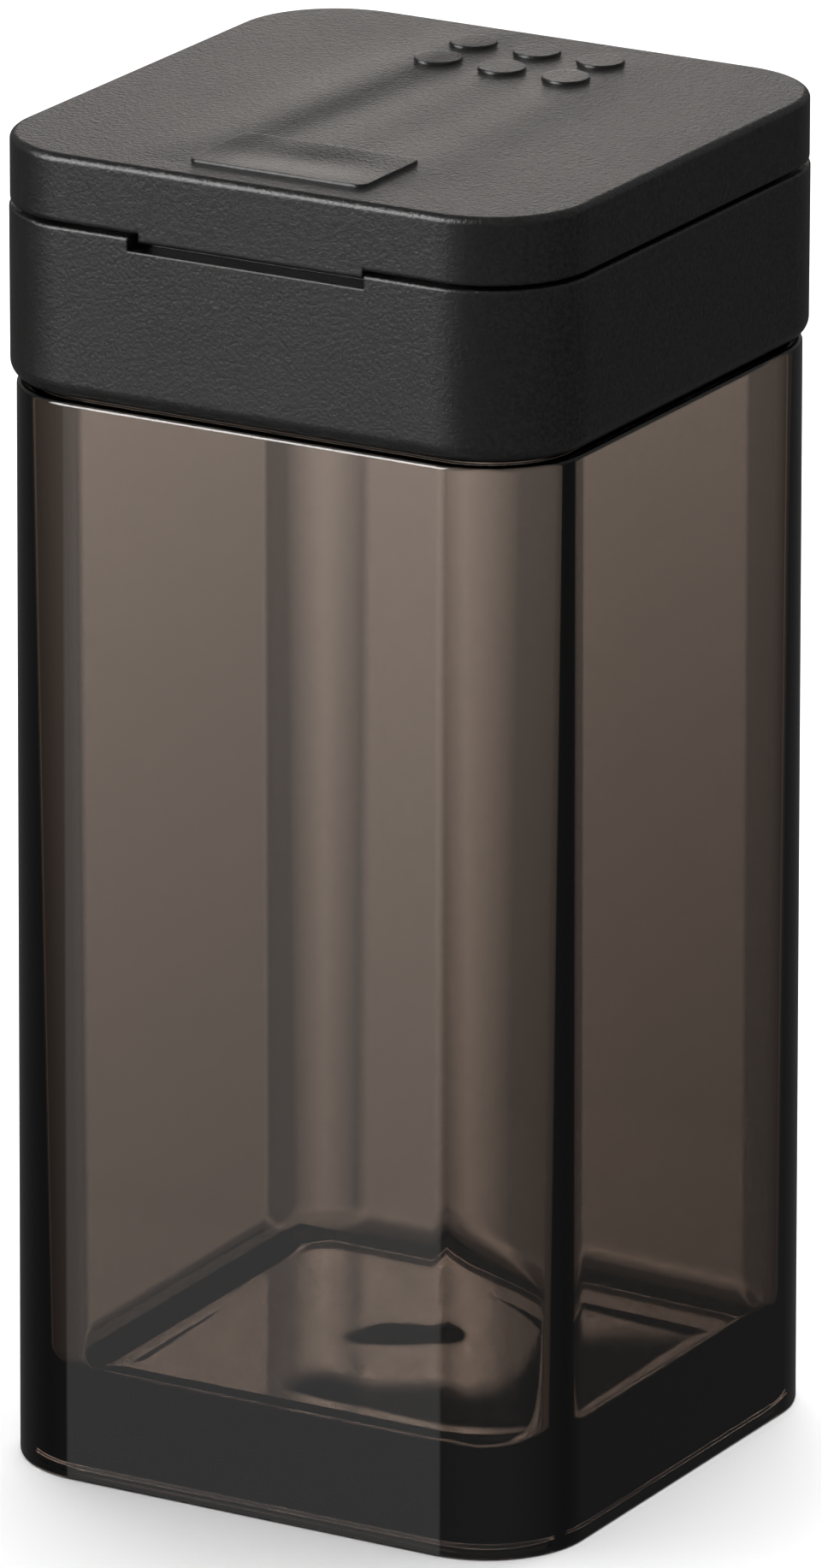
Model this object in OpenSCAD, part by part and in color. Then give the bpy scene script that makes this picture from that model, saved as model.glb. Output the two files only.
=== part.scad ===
// Square spice bottle with a push-on flip-top cap.
// Origin at the centre of the underside, +Z up, the lid's finger tab on the -Y side, the hinge on +Y.

/* [Bottle] */
// Width of the bottle body across its flat faces
body_w = 44.5; // [43.5:0.1:44.8]
// Corner radius of the body in plan
body_r = 7.6; // [6.5:0.1:8.5]
// Height of the shoulder that the cap stops above
shoulder_z = 79.5; // [50:0.5:120]
// Thickness of the side walls
wall = 3.5; // [2.8:0.1:4.2]
// Thickness of the wall at the mouth, measured in from the body's face
mouth_wall = 2.6; // [2.3:0.1:2.8]
// Depth of the wider mouth that the cap's rib sits in
mouth_h = 3; // [2.9:0.1:6]
// Height of the inner floor, which is the thickness of the heavy base
floor_z = 6; // [4:0.5:12]
// Outside width of the neck inside the cap
neck_w = 41.8; // [41.4:0.1:41.9]
// Height of the neck above the shoulder
neck_h = 9.55; // [8:0.05:12]
// Height of the snap bead on the neck above the shoulder
bead_at = 4; // [2:0.5:6]
// Depth of the shallow recess under the base
recess_h = 0.5; // [0.2:0.1:1.5]
// Width of the foot ring around the recess
foot_w = 3.4; // [2:0.1:6]

/* [Cap] */
// Width of the collar across its flat faces
collar_w = 45; // [45:0.1:46]
// Corner radius of the collar in plan
collar_r = 7.7; // [7:0.1:8.5]
// Height of the collar's outer wall
collar_h = 12.45; // [12.2:0.05:13]
// Gap between the bottle's shoulder and the collar
collar_gap = 0.25; // [0.2:0.05:0.5]
// Radius of the collar's lower outside edge
collar_edge = 1.3; // [0.3:0.1:1.5]
// Thickness of the collar's skirt
skirt = 1.25; // [1.1:0.05:1.3]
// Height of the deck's platform above the collar's edge
deck_rise = 1.3; // [0.8:0.1:1.5]

/* [Lid] */
// Width of the lid across its flat faces
lid_w = 44.85; // [44.6:0.05:45]
// Corner radius of the lid in plan
lid_r = 7.6; // [7:0.1:8.5]
// Gap between the collar's edge and the lid
seam = 0.25; // [0.2:0.05:0.6]
// Height of the lid's outer wall
lid_h = 4.85; // [4.5:0.05:5]
// Radius of the lid's top edge
lid_edge = 0.5; // [0.2:0.05:0.6]
// Thickness of the lid's top
lid_top = 1.5; // [1.2:0.1:1.6]
// Thickness of the lid's skirt
lid_wall = 1.55; // [1.3:0.05:1.6]
// Width of the finger tab on the front of the lid
tab_w = 17.8; // [10:0.1:18]
// Width of the notch in the collar that the tab drops into
notch_w = 18.8; // [18.6:0.1:24]
// Depth of that notch
notch_h = 0.96; // [0.8:0.02:1.2]

/* [Openings and marks] */
// Size of the pour opening across the front
pour_x = 13; // [8:0.5:16]
// Size of the pour opening from front to back
pour_y = 7; // [5:0.5:7.5]
// Distance of the pour opening's centre in front of the axis
pour_at = 14.9; // [14:0.1:15]
// Diameter of each shaker hole
shaker_d = 2.6; // [1.5:0.1:2.6]
// Distance of the shaker holes' centre behind the axis
shaker_at = 14.5; // [12:0.1:14.5]
// Pitch of the shaker holes across the cap
shaker_px = 5.15; // [4:0.05:6]
// Pitch of the shaker holes from front to back
shaker_py = 5; // [4:0.05:5]
// Height of the raised marks on top of the lid
mark_h = 0.2; // [0.1:0.05:0.6]
// Diameter of each raised disc
disc_d = 3.4; // [2:0.1:3.8]

/* [Hinge] */
// Length of the hinge tongue at the back of the collar
tongue_l = 30; // [20:0.5:30]
// Radius of the hinge barrel
barrel_r = 1.6; // [1.4:0.05:1.6]
// Radius of the lid's hinge pins
pin_r = 0.8; // [0.6:0.05:0.9]
// Length of each hinge pin inside its bore
pin_l = 2.3; // [1.5:0.1:4]

/* [Hidden] */
$fn = 96;

// Clearances
air = 0.3;
fit = 0.05;

// Heights, all measured from the underside of the base
collar_z0 = shoulder_z + collar_gap;
collar_z1 = collar_z0 + collar_h;
rim_z = shoulder_z + neck_h;
land_z = rim_z + fit + 1.2;
deck_z = collar_z1 + deck_rise;
deck_t = 1.6;
lid_z0 = collar_z1 + seam;
lid_z1 = lid_z0 + lid_h;
ceiling_z = lid_z1 - lid_top;

// Hinge axis, parallel to X: the barrel is flush with the back of the collar
hinge_y = collar_w / 2 - barrel_r;
hinge_z = ceiling_z - barrel_r - air;
back_r = lid_w / 2 - hinge_y + 0.04;
ear_r = back_r - 0.1;
ear_x0 = tongue_l / 2 + air;
ear_t = 1.6;

// Widths
cavity_w = body_w - 2 * wall;
cavity_r = body_r - wall + 0.3;
mouth_w = body_w - 2 * mouth_wall;
mouth_r = body_r - mouth_wall;
neck_r = body_r - (body_w - neck_w) / 2;
socket_w = collar_w - 2 * skirt;
socket_r = collar_r - skirt;
rib_w = mouth_w - 2 * air;
rib_t = 0.75;
rib_h = 2.8;
platform_w = lid_w - 2 * lid_wall - 1.2;
platform_r = lid_r - lid_wall - 0.6;
lid_in_w = lid_w - 2 * lid_wall;
lid_in_r = lid_r - lid_wall;

// Small edge radii
soft_edge = 0.3;
fine_edge = 0.2;
floor_fillet = 2.5;

// The tab and the notch sit slightly off centre from one another
tab_x = 0.15;
notch_x = -0.2;
tab_drop = 0.6;
// The raised marks are not exactly over the openings below them
plate_x = 0.3;
plate_y = -15.3;
disc_shift = 0.6;

// The seal under the lid
seal_t = 1.2;
seal_back = 18.9;
lip_t = 0.5;
lip_gap = 0.4;

// The snap bead around the neck
bead_h = 1;
bead_out = 0.2;

black = [0.13, 0.13, 0.13];
smoke = [0.30, 0.26, 0.24, 0.75];
silicone = [0.80, 0.80, 0.78];

// Half outline of a block from z0 to z1, with its outer lower edge rounded by r0 and its upper by r1
module edge_profile(half, z0, z1, r0, r1) {
    difference() {
        translate([0, z0])
            square([half, z1 - z0]);
        difference() {
            translate([half - r0, z0 - 1])
                square([r0 + 1, r0 + 1]);
            translate([half - r0, z0 + r0])
                circle(r = r0);
        }
        difference() {
            translate([half - r1, z1 - r1])
                square([r1 + 1, r1 + 1]);
            translate([half - r1, z1 - r1])
                circle(r = r1);
        }
    }
}

module whole_profile(half, z0, z1, r0, r1) {
    edge_profile(half, z0, z1, r0, r1);
    mirror([1, 0])
        edge_profile(half, z0, z1, r0, r1);
}

// A square block with round corners in plan and rounded lower and upper edges
module soft_block(w, r, z0, z1, r0, r1) {
    flat = w / 2 - r;
    for (sx = [-1, 1], sy = [-1, 1])
        translate([sx * flat, sy * flat, 0])
            rotate_extrude()
                edge_profile(r, z0, z1, r0, r1);
    translate([-flat, 0, 0])
        rotate([90, 0, 90])
            linear_extrude(2 * flat)
                whole_profile(w / 2, z0, z1, r0, r1);
    translate([0, flat, 0])
        rotate([90, 0, 0])
            linear_extrude(2 * flat)
                whole_profile(w / 2, z0, z1, r0, r1);
}

module plan_outline(wx, wy, r) {
    square([wx - 2 * r, wy], center = true);
    square([wx, wy - 2 * r], center = true);
    for (sx = [-1, 1], sy = [-1, 1])
        translate([sx * (wx / 2 - r), sy * (wy / 2 - r)])
            circle(r = r);
}

// A plain upright block with round corners in plan
module block(wx, wy, r, z0, z1) {
    translate([0, 0, z0])
        linear_extrude(z1 - z0)
            plan_outline(wx, wy, r);
}

// Something placed at each shaker position: three across, two rows
module at_shakers() {
    for (i = [-1, 0, 1], j = [-0.5, 0.5])
        translate([i * shaker_px, shaker_at + j * shaker_py, 0])
            children();
}

module x_rod(r, x0, x1) {
    translate([x0, hinge_y, hinge_z])
        rotate([0, 90, 0])
            cylinder(r = r, h = x1 - x0);
}

// Clear smoke-coloured bottle: straight thick walls, a heavy base and a plain square neck with a wider mouth
module bottle() color(smoke) {
    difference() {
        union() {
            soft_block(body_w, body_r, 0, shoulder_z, fine_edge, soft_edge);
            soft_block(neck_w, neck_r, shoulder_z - 1, rim_z, fine_edge, soft_edge);
            bead_z = shoulder_z + bead_at;
            bead_w = neck_w + 2 * bead_out;
            soft_block(bead_w, neck_r + bead_out, bead_z, bead_z + bead_h, soft_edge, soft_edge);
        }
        soft_block(cavity_w, cavity_r, floor_z, rim_z + 5, floor_fillet, fine_edge);
        block(mouth_w, mouth_w, mouth_r, rim_z - mouth_h, rim_z + 1);
        foot_in = body_w - 2 * foot_w;
        block(foot_in, foot_in, body_r - foot_w, -1, recess_h);
    }
}

// Solid outside of the collar, before it is hollowed
module collar_outside() {
    soft_block(collar_w, collar_r, collar_z0, collar_z1, collar_edge, fine_edge);
    difference() {
        soft_block(platform_w, platform_r, collar_z1 - 1, deck_z, fine_edge, soft_edge);
        // Room for the lid's hinge ears
        for (s = [-1, 1])
            translate([s * (tongue_l / 2 + 5), seal_back + 5, deck_z])
                cube([10, 10, 2 * deck_rise], center = true);
    }
    // Hinge tongue and barrel, flush with the back
    x_rod(barrel_r, -tongue_l / 2, tongue_l / 2);
    translate([-tongue_l / 2, hinge_y - barrel_r, collar_z1 - 1])
        cube([tongue_l, 2 * barrel_r, hinge_z - collar_z1 + 1]);
}

// Cap base: skirt over the neck, deck with the pour opening and shaker holes, hinge tongue
module collar() color(black) {
    difference() {
        collar_outside();
        // Socket for the neck, leaving the rib that centres the cap in the mouth
        difference() {
            block(socket_w, socket_w, socket_r, collar_z0 - 1, land_z);
            block(rib_w, rib_w, mouth_r - air, land_z - rib_h, land_z + 1);
        }
        rib_in = rib_w - 2 * rib_t;
        block(rib_in, rib_in, mouth_r - air - rib_t, collar_z0 - 1, deck_z - deck_t);
        // Pour opening and shaker holes through the deck
        translate([0, -pour_at, 0])
            block(pour_x, pour_y, 1, land_z, deck_z + 1);
        at_shakers()
            translate([0, 0, land_z])
                cylinder(d = shaker_d, h = deck_z - land_z + 1);
        // Notch for the lid's finger tab
        translate([notch_x - notch_w / 2, -collar_w / 2 - 1, collar_z1 - notch_h])
            cube([notch_w, (collar_w - platform_w) / 2 + 0.75, notch_h + 1]);
        // Blind bores for the hinge pins
        for (s = [0, 1])
            mirror([s, 0, 0])
                x_rod(pin_r + fit, tongue_l / 2 - pin_l, tongue_l / 2 + 1);
    }
}

// Silicone ring between the neck's rim and the deck
module neck_gasket() color(silicone) {
    out_w = socket_w - 2 * fit;
    in_w = rib_w + 2 * fit;
    difference() {
        soft_block(out_w, socket_r - fit, rim_z + fit, land_z, fine_edge, fine_edge);
        block(in_w, in_w, mouth_r - air + fit, rim_z, land_z + 1);
    }
}

// Raised marks on top of the lid: one plate over the pour opening, one disc over each shaker hole
module marks() {
    translate([plate_x, plate_y, 0])
        block(14, 8, 0.8, lid_z1 - 0.5, lid_z1 + mark_h);
    translate([0, disc_shift, lid_z1 - 0.5])
        at_shakers()
            cylinder(d = disc_d, h = mark_h + 0.5);
}

// Tab below the lid's front wall, with a rounded lower outer edge
module finger_tab() {
    translate([tab_x - tab_w / 2, -lid_w / 2, lid_z0 - tab_drop])
        rotate([90, 0, 90])
            linear_extrude(tab_w) {
                translate([soft_edge, soft_edge])
                    circle(r = soft_edge);
                translate([0, soft_edge])
                    square([lid_wall, tab_drop + 0.2]);
                translate([soft_edge, 0])
                    square([lid_wall - soft_edge, tab_drop]);
            }
}

// Shallow lid with a finger tab at the front and two hinge pins at the back
module flip_lid() color(black) {
    difference() {
        union() {
            difference() {
                union() {
                    soft_block(lid_w, lid_r, lid_z0, lid_z1, soft_edge, lid_edge);
                    marks();
                    finger_tab();
                }
                block(lid_in_w, lid_in_w, lid_in_r, lid_z0 - 1, ceiling_z);
                // Open back, where the collar's tongue stands
                translate([-ear_x0, hinge_y - 2, lid_z0 - 1])
                    cube([2 * ear_x0, 8, ceiling_z - lid_z0 + 1]);
            }
            // Hinge ears and their pins
            for (s = [0, 1])
                mirror([s, 0, 0]) {
                    x_rod(ear_r, ear_x0, ear_x0 + ear_t);
                    translate([ear_x0, hinge_y - ear_r, hinge_z])
                        cube([ear_t, 2 * ear_r, ceiling_z - hinge_z + 0.5]);
                    x_rod(pin_r, ear_x0 - pin_l, ear_x0 + 0.5);
                }
        }
        // Back lower edge rounded about the hinge axis, so that it clears the collar as it turns
        difference() {
            translate([-lid_w / 2, hinge_y, lid_z0 - 1])
                cube([lid_w, 8, hinge_z - lid_z0 + 1]);
            x_rod(back_r, -lid_w, lid_w);
        }
    }
}

// Raised lip of the seal around an opening
module lip(wx, wy, r) {
    difference() {
        block(wx + 2 * lip_t, wy + 2 * lip_t, r + lip_t, deck_z + fit, ceiling_z - seal_t + 0.1);
        block(wx, wy, r, deck_z, ceiling_z);
    }
}

// Silicone pad pressed into the lid, with a lip around each group of openings
module lid_seal() color(silicone) {
    pad_w = lid_in_w - 0.2;
    difference() {
        block(pad_w, pad_w, lid_in_r - 0.1, ceiling_z - seal_t, ceiling_z);
        translate([-pad_w, seal_back, ceiling_z - 5])
            cube([2 * pad_w, 10, 10]);
    }
    translate([0, -pour_at, 0])
        lip(pour_x + 2 * lip_gap, pour_y + 2 * lip_gap, 1.4);
    translate([0, shaker_at, 0])
        lip(2 * (shaker_px + lip_gap) + shaker_d, shaker_py + shaker_d + 0.2, 1.4);
}

bottle();
collar();
neck_gasket();
flip_lid();
lid_seal();
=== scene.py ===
import math

import bpy
from mathutils import Matrix, Vector


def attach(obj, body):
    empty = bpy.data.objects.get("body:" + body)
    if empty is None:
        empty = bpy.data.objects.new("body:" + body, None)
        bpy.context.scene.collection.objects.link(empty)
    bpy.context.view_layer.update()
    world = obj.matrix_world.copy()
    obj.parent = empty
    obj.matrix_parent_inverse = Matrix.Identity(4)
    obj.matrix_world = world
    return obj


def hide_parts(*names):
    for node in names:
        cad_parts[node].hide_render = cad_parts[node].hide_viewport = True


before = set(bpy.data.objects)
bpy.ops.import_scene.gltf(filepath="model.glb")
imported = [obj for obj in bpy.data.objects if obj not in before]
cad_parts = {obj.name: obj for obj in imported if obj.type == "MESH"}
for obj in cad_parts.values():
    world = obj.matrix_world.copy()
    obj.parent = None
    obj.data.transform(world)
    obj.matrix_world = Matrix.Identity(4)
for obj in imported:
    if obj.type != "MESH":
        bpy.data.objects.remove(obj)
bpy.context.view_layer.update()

MM = 0.001

# ---------------------------------------------------------------- camera

CAMERA_AZIMUTH = math.radians(30.0)
CAMERA_ELEVATION = math.radians(18.07)
CAMERA_ROLL = math.radians(0.09)
CAMERA_DISTANCE = 0.996
CAMERA_LENS = 323.8
CAMERA_SHIFT = (0.0, 0.0029)
SENSOR_WIDTH = 36
TARGET = Vector((0, 0, 0.04766))


def make_camera():
    data = bpy.data.cameras.new("photo_camera")
    data.lens = CAMERA_LENS
    data.sensor_width = SENSOR_WIDTH
    data.shift_x, data.shift_y = CAMERA_SHIFT
    data.clip_start = 0.05
    data.clip_end = 50
    back = Vector((
        math.sin(CAMERA_AZIMUTH) * math.cos(CAMERA_ELEVATION),
        -math.cos(CAMERA_AZIMUTH) * math.cos(CAMERA_ELEVATION),
        math.sin(CAMERA_ELEVATION),
    ))
    right = Vector((math.cos(CAMERA_AZIMUTH), math.sin(CAMERA_AZIMUTH), 0))
    up = back.cross(right)
    side = right * math.cos(CAMERA_ROLL) + up * math.sin(CAMERA_ROLL)
    top = back.cross(side)
    camera = bpy.data.objects.new("photo_camera", data)
    turn = Matrix((side, top, back)).transposed().to_4x4()
    camera.matrix_world = Matrix.Translation(TARGET + back * CAMERA_DISTANCE) @ turn
    bpy.context.scene.collection.objects.link(camera)
    bpy.context.scene.camera = camera


# ---------------------------------------------------------------- materials

# Faint unevenness of the lid's top, in metres: a line's start and end, its half width and height
LID_WAVES = (
    ((-0.0043, 0.022), (-0.0058, -0.020), 0.0034, -0.00066),
    ((0.0042, 0.021), (0.0060, -0.018), 0.0036, 0.00036),
)
# Only the raised plate and discs are above this height
MARKS_ABOVE = 0.0974
# Centre of the plate's faint dish, its spread in X and Y, and its depth
PLATE_DISH = ((0.0012, -0.0157), (0.0055, 0.0030), -0.00050)

# Scales of the black plastic's spark-eroded grain, fine specks and broad mottling, per metre
GRAIN_SCALE = 3500
SPECK_SCALE = 6400
MOTTLE_SCALE = 90
GRAIN_HEIGHT = 0.000095
MOTTLE_HEIGHT = 0.0002
SOFT_EDGE = 0.00022
BLACK_LOW = (0.0022, 0.0021, 0.0020)
BLACK_HIGH = (0.0082, 0.0078, 0.0075)
BLACK_IOR = 1.49

RESIN_IOR = 1.57
RESIN_TINT = (0.562, 0.524, 0.495, 1)
RESIN_DENSITY = 1000

SILICONE_LOW = (0.52, 0.52, 0.50)
SILICONE_HIGH = (0.60, 0.60, 0.58)
FLOOR_WHITE = (0.93, 0.93, 0.93, 1)
# Dark paint of the painted shadow card under the bottle's base
SHADOW_CARD_BLACK = (0.02, 0.02, 0.02, 1)


class Nodes:
    """A small helper that adds and links nodes in one material or world."""

    def __init__(self, owner, output="ShaderNodeOutputMaterial"):
        self.owner = owner
        owner.use_nodes = True
        self.tree = owner.node_tree
        self.tree.nodes.clear()
        self.output = self.tree.nodes.new(output)

    def add(self, kind, **settings):
        node = self.tree.nodes.new(kind)
        for key, value in settings.items():
            setattr(node, key, value)
        return node

    def link(self, source, target):
        self.tree.links.new(source, target)


def object_coords(n):
    return n.add("ShaderNodeTexCoord").outputs["Object"]


def noise(n, coords, scale, detail=2.0, roughness=0.5):
    node = n.add("ShaderNodeTexNoise")
    node.inputs["Scale"].default_value = scale
    node.inputs["Detail"].default_value = detail
    node.inputs["Roughness"].default_value = roughness
    n.link(coords, node.inputs["Vector"])
    return node.outputs["Fac"]


def ramp(n, source, stops):
    node = n.add("ShaderNodeValToRGB")
    elements = node.color_ramp.elements
    while len(elements) < len(stops):
        elements.new(0.5)
    for element, (place, colour) in zip(elements, stops):
        element.position = place
        element.color = (*colour, 1)
    n.link(source, node.inputs["Fac"])
    return node.outputs["Color"]


def spread(n, source, low, high):
    """Maps a 0 to 1 value to low to high."""
    node = n.add("ShaderNodeMapRange")
    node.inputs["To Min"].default_value = low
    node.inputs["To Max"].default_value = high
    n.link(source, node.inputs["Value"])
    return node.outputs["Result"]


def maths(n, operation, first, second=None, clamp=False):
    """One Math node; each operand is a socket or a number."""
    node = n.add("ShaderNodeMath", operation=operation, use_clamp=clamp)
    for socket, value in zip(node.inputs, (first, second)):
        if isinstance(value, (int, float)):
            socket.default_value = value
        elif value is not None:
            n.link(value, socket)
    return node.outputs[0]


def dot(n, vector, constant):
    node = n.add("ShaderNodeVectorMath", operation="DOT_PRODUCT")
    node.inputs[1].default_value = constant
    n.link(vector, node.inputs[0])
    return node.outputs["Value"]


def bump(n, height, strength, distance, normal=None):
    node = n.add("ShaderNodeBump")
    if isinstance(strength, (int, float)):
        node.inputs["Strength"].default_value = strength
    else:
        n.link(strength, node.inputs["Strength"])
    node.inputs["Distance"].default_value = distance
    n.link(height, node.inputs["Height"])
    if normal is not None:
        n.link(normal, node.inputs["Normal"])
    return node.outputs["Normal"]


def lid_wave(n, coords):
    """The lid's top isn't quite flat: faint steps run from the discs to the plate."""
    total = 0
    for start, end, width, height in LID_WAVES:
        origin = Vector((*start, 0))
        along = Vector((*end, 0)) - origin
        half_length = along.length / 2
        along.normalize()
        aside = Vector((-along.y, along.x, 0))
        off = maths(n, "ADD", dot(n, coords, aside), -origin.dot(aside))
        off = maths(n, "DIVIDE", off, width)
        bell = maths(n, "EXPONENT", maths(n, "MULTIPLY", maths(n, "MULTIPLY", off, off), -1))
        step = maths(n, "MULTIPLY", off, bell)
        run = maths(n, "ADD", dot(n, coords, along), -origin.dot(along) - half_length)
        run = maths(n, "DIVIDE", maths(n, "ABSOLUTE", run), half_length)
        fade = maths(n, "SUBTRACT", 1, maths(n, "POWER", run, 3), clamp=True)
        wave = maths(n, "MULTIPLY", maths(n, "MULTIPLY", step, fade), height)
        total = maths(n, "ADD", total, wave)
    return total


def plate_dish(n, coords):
    """The raised plate is faintly dished, which shades its back and catches light at its front."""
    (middle_x, middle_y), (spread_x, spread_y), depth = PLATE_DISH
    off_x = maths(n, "SUBTRACT", dot(n, coords, (1, 0, 0)), middle_x)
    off_x = maths(n, "DIVIDE", off_x, spread_x)
    off_y = maths(n, "SUBTRACT", dot(n, coords, (0, 1, 0)), middle_y)
    off_y = maths(n, "DIVIDE", off_y, spread_y)
    square = maths(n, "ADD", maths(n, "MULTIPLY", off_x, off_x), maths(n, "MULTIPLY", off_y, off_y))
    bell = maths(n, "EXPONENT", maths(n, "MULTIPLY", square, -1))
    on_plate = maths(n, "GREATER_THAN", dot(n, coords, (0, 0, 1)), MARKS_ABOVE)
    return maths(n, "MULTIPLY", maths(n, "MULTIPLY", bell, depth), on_plate)


def black_plastic(name, waved=False):
    """Matte moulded plastic with a fine spark-eroded grain and slightly rounded edges."""
    n = Nodes(bpy.data.materials.new(name))
    coords = object_coords(n)
    grain = noise(n, coords, GRAIN_SCALE, 3.0, 0.62)
    speck = noise(n, coords, SPECK_SCALE, 1.0, 0.5)
    mottle = noise(n, coords, MOTTLE_SCALE, 3.0, 0.55)
    shader = n.add("ShaderNodeBsdfPrincipled")
    shader.inputs["IOR"].default_value = BLACK_IOR
    n.link(ramp(n, grain, [(0.35, BLACK_LOW), (0.65, BLACK_HIGH)]), shader.inputs["Base Color"])
    rough = maths(n, "ADD", spread(n, mottle, 0.30, 0.36), spread(n, speck, -0.08, 0.08))
    n.link(rough, shader.inputs["Roughness"])
    edge = n.add("ShaderNodeBevel", samples=6)
    edge.inputs["Radius"].default_value = SOFT_EDGE
    normal = bump(n, mottle, 0.10, MOTTLE_HEIGHT, edge.outputs["Normal"])
    if waved:
        uneven = maths(n, "ADD", lid_wave(n, coords), plate_dish(n, coords))
        normal = bump(n, uneven, 1.0, 1.0, normal)
    # The grain is stronger on level faces than on upright ones
    level = dot(n, n.add("ShaderNodeNewGeometry").outputs["Normal"], (0, 0, 1))
    level = maths(n, "ABSOLUTE", level)
    normal = bump(n, grain, spread(n, level, 0.35, 1.0), GRAIN_HEIGHT, normal)
    n.link(normal, shader.inputs["Normal"])
    n.link(shader.outputs["BSDF"], n.output.inputs["Surface"])
    return n.owner


def smoke_resin():
    """Clear tinted plastic: the tint is in the body, so thick parts are darker."""
    n = Nodes(bpy.data.materials.new("smoke_resin"))
    coords = object_coords(n)
    ripple = noise(n, coords, 55, 1.0, 0.4)
    haze = noise(n, coords, 160, 3.0, 0.6)
    shader = n.add("ShaderNodeBsdfPrincipled")
    shader.inputs["Base Color"].default_value = (1, 1, 1, 1)
    shader.inputs["Transmission Weight"].default_value = 1.0
    shader.inputs["IOR"].default_value = RESIN_IOR
    n.link(spread(n, haze, 0.0, 0.02), shader.inputs["Roughness"])
    n.link(bump(n, ripple, 0.006, 0.0003), shader.inputs["Normal"])
    tint = n.add("ShaderNodeVolumeAbsorption")
    tint.inputs["Color"].default_value = RESIN_TINT
    tint.inputs["Density"].default_value = RESIN_DENSITY
    n.link(shader.outputs["BSDF"], n.output.inputs["Surface"])
    n.link(tint.outputs["Volume"], n.output.inputs["Volume"])
    return n.owner


def silicone():
    n = Nodes(bpy.data.materials.new("silicone"))
    coords = object_coords(n)
    cloud = noise(n, coords, 120, 3.0, 0.5)
    shader = n.add("ShaderNodeBsdfPrincipled")
    colour = ramp(n, cloud, [(0.3, SILICONE_LOW), (0.7, SILICONE_HIGH)])
    n.link(colour, shader.inputs["Base Color"])
    n.link(spread(n, cloud, 0.42, 0.55), shader.inputs["Roughness"])
    n.link(bump(n, cloud, 0.2, 0.0001), shader.inputs["Normal"])
    n.link(shader.outputs["BSDF"], n.output.inputs["Surface"])
    return n.owner


def floor_paint():
    n = Nodes(bpy.data.materials.new("pale_floor"))
    shader = n.add("ShaderNodeBsdfPrincipled")
    shader.inputs["Base Color"].default_value = FLOOR_WHITE
    shader.inputs["Roughness"].default_value = 0.6
    n.link(shader.outputs["BSDF"], n.output.inputs["Surface"])
    return n.owner


# Painted shadow: dark paint for the card that stands in for the table's shade under the bottle
def painted_shadow_paint():
    n = Nodes(bpy.data.materials.new("painted_shadow_paint"))
    shader = n.add("ShaderNodeBsdfDiffuse")
    shader.inputs["Color"].default_value = SHADOW_CARD_BLACK
    n.link(shader.outputs["BSDF"], n.output.inputs["Surface"])
    return n.owner


# ---------------------------------------------------------------- rounded-square shells

ARC_STEPS = 20
FLAT_STEPS = 6


def outline(half, radius):
    """Points of a rounded square, each with its outward normal, anticlockwise from +X."""
    points = []
    flat = half - radius
    for corner in range(4):
        turn = corner * math.pi / 2
        cx = flat * (math.cos(turn) - math.sin(turn))
        cy = flat * (math.sin(turn) + math.cos(turn))
        for step in range(ARC_STEPS + 1):
            angle = turn + step / ARC_STEPS * math.pi / 2
            nx, ny = math.cos(angle), math.sin(angle)
            points.append((cx + radius * nx, cy + radius * ny, nx, ny))
        end = turn + math.pi / 2
        ex, ey = points[-1][:2]
        nx, ny = math.cos(end), math.sin(end)
        for step in range(1, FLAT_STEPS):
            reach = 2 * flat * step / FLAT_STEPS
            points.append((ex - ny * reach, ey + nx * reach, nx, ny))
    return points


def loft(name, rings):
    """A closed mesh through rings of (half, radius, z, outward, upward).

    The last two are the normal, and lengths are in millimetres.
    """
    verts, normals, faces = [], [], []
    count = len(outline(1, 0.5))
    for half, radius, z, outward, upward in rings:
        for x, y, nx, ny in outline(half, radius):
            verts.append((x * MM, y * MM, z * MM))
            normals.append(Vector((nx * outward, ny * outward, upward)).normalized())
    for ring in range(len(rings) - 1):
        for i in range(count):
            j = (i + 1) % count
            a, b = ring * count, (ring + 1) * count
            faces.append((a + i, a + j, b + j, b + i))
    faces.append(tuple(reversed(range(count))))
    last = (len(rings) - 1) * count
    faces.append(tuple(range(last, last + count)))
    mesh = bpy.data.meshes.new(name)
    mesh.from_pydata(verts, [], faces)
    mesh.update()
    for polygon in mesh.polygons:
        polygon.use_smooth = True
    mesh.normals_split_custom_set_from_vertices(normals)
    piece = bpy.data.objects.new(name, mesh)
    bpy.context.scene.collection.objects.link(piece)
    return piece


def arc(half, flat, z, edge, start, end, steps, inward=False):
    """Rings round an edge with its centre at (half, z), from start to end degrees.

    0 degrees is outward and 90 is up. Flat is half of a side's straight part, which sets the
    corner's radius. Inward turns the normals round, for a hollow edge.
    """
    rings = []
    radius = half - flat
    sign = -1 if inward else 1
    for step in range(steps + 1):
        angle = math.radians(start + (end - start) * step / steps)
        out, up = math.cos(angle), math.sin(angle)
        rings.append((half + edge * out, radius + edge * out, z + edge * up, sign * out, sign * up))
    return rings


# ---------------------------------------------------------------- bottle

# All in millimetres. A half is half of a width, and a flat is half of a side's straight part.
BODY_LOW_HALF = 22.42
BODY_TOP_HALF = 22.12
BODY_FLAT = 14.65
SHOULDER_Z = 79.5
NECK_HALF = 20.9
RIM_Z = 89.05
BEAD_Z = 83.5
BEAD_OUT = 0.2
BEAD_STEPS = 8
MOUTH_HALF = 19.65
MOUTH_Z = 86.05
CAVITY_TOP_HALF = 19.15
CAVITY_LOW_HALF = 18.36
CAVITY_FLAT = 14.3
FLOOR_Z = 6.0
FLOOR_FILLET = 2.5
RECESS = 0.5
FOOT = 3.4
SOFT = 0.3
FINE = 0.2
STEP = 0.15
SINK_DEPTH = 0.022
SINK_WIDTH = 2.15
FLOOR_SHARES = (0.9, 0.75, 0.6, 0.5, 0.42, 0.36, 0.31, 0.27, 0.23, 0.19, 0.15, 0.11, 0.07, 0.03)


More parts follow.
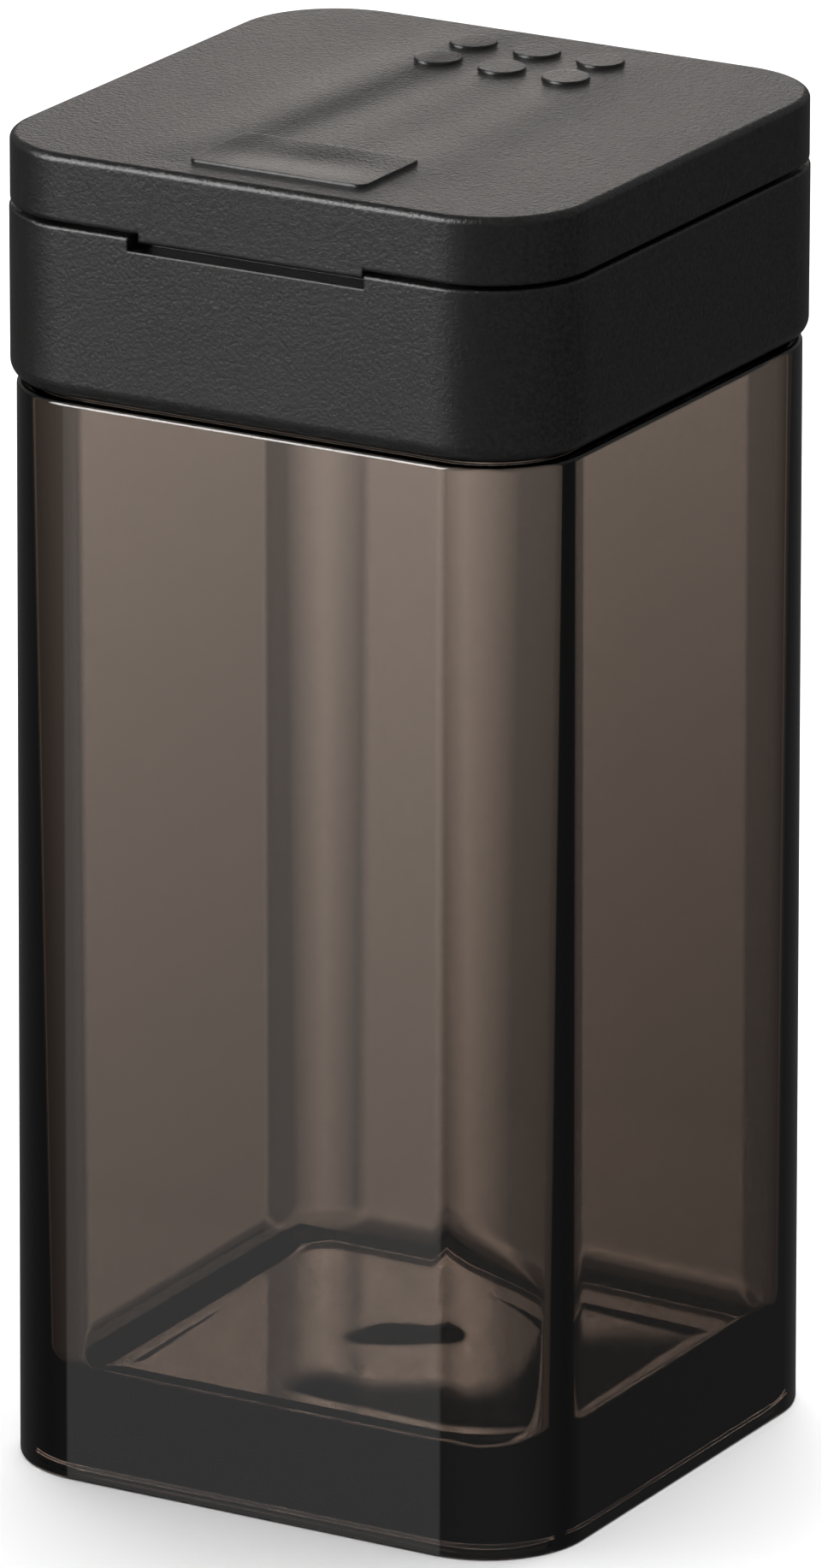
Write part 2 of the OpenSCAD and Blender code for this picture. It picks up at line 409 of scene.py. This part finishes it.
def underside():
    """From the middle of the recess out to the foot's outer edge."""
    foot_half = BODY_LOW_HALF - FOOT
    rings = []
    for share in (0.05, 0.5, 0.9):
        rings.append((foot_half * share, (foot_half - BODY_FLAT) * share, RECESS, 0, -1))
    rings += arc(foot_half - FINE, BODY_FLAT, RECESS - FINE, FINE, 90, 0, 4, inward=True)
    rings += arc(foot_half + FINE, BODY_FLAT, FINE, FINE, 180, 270, 4)
    rings += arc(BODY_LOW_HALF - FINE, BODY_FLAT, FINE, FINE, 270, 360, 5)
    return rings


def outside():
    """Up the body, over the shoulder, and up the neck past its bead to the rim."""
    draft = (BODY_LOW_HALF - BODY_TOP_HALF) / SHOULDER_Z
    rings = []
    # The rings close to each end keep the wall's shading straight
    for share in (0.01, 0.25, 0.5, 0.75, 0.99):
        half = BODY_LOW_HALF - draft * SHOULDER_Z * share
        rings.append((half, half - BODY_FLAT, SHOULDER_Z * share, 1, draft))
    rings += arc(BODY_TOP_HALF - SOFT, BODY_FLAT, SHOULDER_Z - SOFT, SOFT, 0, 90, 5)
    rings += arc(NECK_HALF + FINE, BODY_FLAT, SHOULDER_Z + FINE, FINE, 270, 180, 4, inward=True)
    neck_corner = NECK_HALF - BODY_FLAT
    rings.append((NECK_HALF, neck_corner, BEAD_Z - 0.05, 1, 0))
    for step in range(BEAD_STEPS + 1):
        angle = math.pi * step / BEAD_STEPS
        lift = BEAD_OUT * math.sin(angle)
        slope = -2 * BEAD_OUT * math.cos(angle)
        rings.append((NECK_HALF + lift, neck_corner + lift, BEAD_Z + step / BEAD_STEPS, 1, slope))
    rings.append((NECK_HALF, neck_corner, BEAD_Z + 1.05, 1, 0))
    rings += arc(NECK_HALF - SOFT, BODY_FLAT, RIM_Z - SOFT, SOFT, 0, 90, 5)
    return rings


def inner_side():
    """From the rim down the mouth and the cavity to the middle of the floor."""
    rings = arc(MOUTH_HALF + FINE, BODY_FLAT, RIM_Z - FINE, FINE, 90, 180, 4)
    rings += arc(MOUTH_HALF - STEP, BODY_FLAT, MOUTH_Z + STEP, STEP, 0, -90, 3, inward=True)
    low_z = FLOOR_Z + FLOOR_FILLET
    edge_z = MOUTH_Z - STEP
    taper = (CAVITY_TOP_HALF - CAVITY_LOW_HALF) / (edge_z - low_z)
    rings += arc(CAVITY_TOP_HALF + STEP, CAVITY_FLAT, edge_z, STEP, 90, 180, 3)
    for share in (0.01, 0.2, 0.4, 0.6, 0.8, 0.99):
        half = CAVITY_TOP_HALF + (CAVITY_LOW_HALF - CAVITY_TOP_HALF) * share
        rings.append((half, half - CAVITY_FLAT, edge_z + (low_z - edge_z) * share, -1, taper))
    inset = CAVITY_LOW_HALF - FLOOR_FILLET
    rings += arc(inset, CAVITY_FLAT, low_z, FLOOR_FILLET, 0, -90, 16, inward=True)
    for share in FLOOR_SHARES:
        rings.append((inset * share, (inset - CAVITY_FLAT) * share, FLOOR_Z, 0, 1))
    return rings


def add_sink(piece):
    """A shallow sink mark in the middle of the inner floor."""
    mesh = piece.data
    kept = {}
    for loop, corner in zip(mesh.loops, mesh.corner_normals):
        kept[loop.vertex_index] = Vector(corner.vector)
    for vertex in mesh.vertices:
        x, y, z = vertex.co / MM
        if abs(z - FLOOR_Z) < 1e-3 and kept[vertex.index].z > 0.999:
            reach = math.hypot(x, y)
            depth = SINK_DEPTH * math.exp(-reach * reach / (2 * SINK_WIDTH ** 2))
            vertex.co.z -= depth * MM
            slope = depth / SINK_WIDTH ** 2
            kept[vertex.index] = Vector((-slope * x, -slope * y, 1)).normalized()
    ordered = [kept[i] for i in range(len(mesh.vertices))]
    mesh.normals_split_custom_set_from_vertices(ordered)


def make_bottle(material):
    piece = loft("bottle_shell", underside() + outside() + inner_side())
    add_sink(piece)
    piece.data.materials.append(material)
    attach(piece, "bottle_body")
    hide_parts("bottle")


# ---------------------------------------------------------------- studio

AHEAD = Vector((-math.sin(CAMERA_AZIMUTH), math.cos(CAMERA_AZIMUTH), 0))
ACROSS = Vector((math.cos(CAMERA_AZIMUTH), math.sin(CAMERA_AZIMUTH), 0))
# Light from all round, as the matte surfaces get it
ROOM = 0.4
# What the object mirrors: a dark table, lighter towards the camera's side, and a dim room above it
TABLE = 0.08
TABLE_FRONT = 0.14
ROOM_MIRRORED = 0.2
PANEL_AZIMUTH = -121.0
PANEL_HALF = 7.5
PANEL_MIRRORED = 0.45
SIDE_AZIMUTH = -113.0
SIDE_HALF = 15.0
SIDE_UP = 18.0
SIDE_LIGHT = 12.0
# What is seen through the bottle: a strip light behind it, and the table's dim mirror image of it
STRIP_AZIMUTH = -1.7
STRIP_HALF = 7.0
STRIP_TOP = 20.42
STRIP_TOP_SOFT = 0.08
STRIP_PEAK = 38.0
STRIP_BASE = 13.0
TABLE_MIRROR = 0.14

FLOOR_REACH = 6.0
# Reach and height of the painted shadow card under the bottle's base
SHADOW_CARD_REACH = 0.0232
SHADOW_CARD_Z = -0.0002
TOP_PLACE = (-0.1, 0.3, 1.2)
TOP_FACING = (0.08, -0.25, -1)
TOP_SIZE = (1.5, 1.5)
TOP_RADIANCE = 4.2
BACK_PLACE = AHEAD + Vector((0, 0, 0.21))
BACK_SIZE = (0.20, 0.17)
BACK_RADIANCE = 2.3
BACK_COLOUR = (1.0, 0.93, 0.88)
BOUNCES = 24


def area_light(name, place, facing, size, radiance):
    """An area light that faces along a direction, with its brightness given as radiance."""
    data = bpy.data.lights.new(name, "AREA")
    data.shape = "RECTANGLE"
    data.size, data.size_y = size
    data.energy = radiance * math.pi * size[0] * size[1]
    light = bpy.data.objects.new(name, data)
    light.location = place
    light.rotation_euler = (-Vector(facing)).to_track_quat("Z", "Y").to_euler()
    light.visible_camera = False
    bpy.context.scene.collection.objects.link(light)
    return light


def plane(name, reach, z, material):
    mesh = bpy.data.meshes.new(name)
    corners = [(-reach, -reach, z), (reach, -reach, z), (reach, reach, z), (-reach, reach, z)]
    mesh.from_pydata(corners, [], [(0, 1, 2, 3)])
    mesh.materials.append(material)
    piece = bpy.data.objects.new(name, mesh)
    bpy.context.scene.collection.objects.link(piece)
    return piece


def angle_from(n, angle, centre):
    """How far an angle is from a centre, in degrees, both given in degrees."""
    return maths(n, "ABSOLUTE", maths(n, "SUBTRACT", angle, centre))


def inside(n, offset, half, soft):
    """1 where the offset is within half, falling to 0 over soft more, all in degrees."""
    fall = maths(n, "DIVIDE", maths(n, "SUBTRACT", offset, half), soft, clamp=True)
    return maths(n, "SUBTRACT", 1, fall)


def make_world():
    """Soft light from all round, and what the bottle shows and mirrors, by direction."""
    world = bpy.data.worlds.new("studio")
    bpy.context.scene.world = world
    n = Nodes(world, "ShaderNodeOutputWorld")
    direction = n.add("ShaderNodeTexCoord").outputs["Generated"]
    ahead = dot(n, direction, AHEAD)
    across = dot(n, direction, ACROSS)
    height = dot(n, direction, (0, 0, 1))
    azimuth = maths(n, "DEGREES", maths(n, "ARCTAN2", across, ahead))
    elevation = maths(n, "DEGREES", maths(n, "ARCSINE", height))
    above = maths(n, "GREATER_THAN", height, 0)
    mirror = maths(n, "ADD", TABLE_MIRROR, maths(n, "MULTIPLY", above, 1 - TABLE_MIRROR))

    strip = inside(n, angle_from(n, azimuth, STRIP_AZIMUTH), 0, STRIP_HALF)
    strip = maths(n, "ADD", STRIP_BASE, maths(n, "MULTIPLY", strip, STRIP_PEAK - STRIP_BASE))
    strip = maths(n, "MULTIPLY", strip, inside(n, elevation, STRIP_TOP, STRIP_TOP_SOFT))
    seen_through = maths(n, "MULTIPLY", strip, mirror)

    panel = inside(n, angle_from(n, azimuth, PANEL_AZIMUTH), PANEL_HALF, 3)
    panel = maths(n, "MULTIPLY", panel, PANEL_MIRRORED)
    softbox = inside(n, angle_from(n, azimuth, SIDE_AZIMUTH), SIDE_HALF, 4)
    upright = inside(n, angle_from(n, elevation, SIDE_UP), SIDE_UP, 3)
    softbox = maths(n, "MULTIPLY", softbox, upright)
    panel = maths(n, "ADD", panel, maths(n, "MULTIPLY", softbox, SIDE_LIGHT))
    toward_camera = maths(n, "MULTIPLY", ahead, -TABLE_FRONT, clamp=True)
    table = maths(n, "ADD", TABLE, maths(n, "MULTIPLY", above, ROOM_MIRRORED - TABLE))
    table = maths(n, "ADD", table, toward_camera)
    mirrored = maths(n, "ADD", table, panel)

    rays = n.add("ShaderNodeLightPath")
    through = maths(n, "SUBTRACT", seen_through, ROOM)
    through = maths(n, "MULTIPLY", rays.outputs["Is Transmission Ray"], through)
    glossy = maths(n, "SUBTRACT", mirrored, ROOM)
    glossy = maths(n, "MULTIPLY", rays.outputs["Is Glossy Ray"], glossy)
    strength = maths(n, "ADD", ROOM, maths(n, "ADD", through, glossy))
    background = n.add("ShaderNodeBackground")
    n.link(strength, background.inputs["Strength"])
    background.inputs["Color"].default_value = (1, 1, 1, 1)
    n.link(background.outputs["Background"], n.output.inputs["Surface"])
    world.cycles.sampling_method = "NONE"


def make_studio():
    floor = plane("floor", FLOOR_REACH, 0, floor_paint())
    floor.visible_glossy = False
    floor.visible_transmission = False
    # Painted shadow: only light that comes through the bottle's base meets this dark card, which
    # stands in for the table's shade under the bottle
    under = plane("painted_shadow_card", SHADOW_CARD_REACH, SHADOW_CARD_Z, painted_shadow_paint())
    under.visible_camera = False
    under.visible_diffuse = False
    under.visible_glossy = False
    under.visible_shadow = False
    make_world()
    top = area_light("top_softbox", TOP_PLACE, TOP_FACING, TOP_SIZE, TOP_RADIANCE)
    top.visible_glossy = False
    back = area_light("back_softbox", BACK_PLACE, -AHEAD, BACK_SIZE, BACK_RADIANCE)
    back.data.color = BACK_COLOUR


def main():
    make_camera()
    rubber = silicone()
    finishes = {
        "collar": black_plastic("black_plastic"),
        "flip_lid": black_plastic("black_plastic_lid", waved=True),
        "neck_gasket": rubber,
        "lid_seal": rubber,
    }
    for name, material in finishes.items():
        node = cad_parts[name]
        node.data.materials.clear()
        node.data.materials.append(material)
    make_bottle(smoke_resin())
    make_studio()
    scene = bpy.context.scene
    scene.view_settings.view_transform = "Standard"
    scene.cycles.max_bounces = BOUNCES
    scene.cycles.transmission_bounces = BOUNCES
    scene.cycles.transparent_max_bounces = BOUNCES


main()
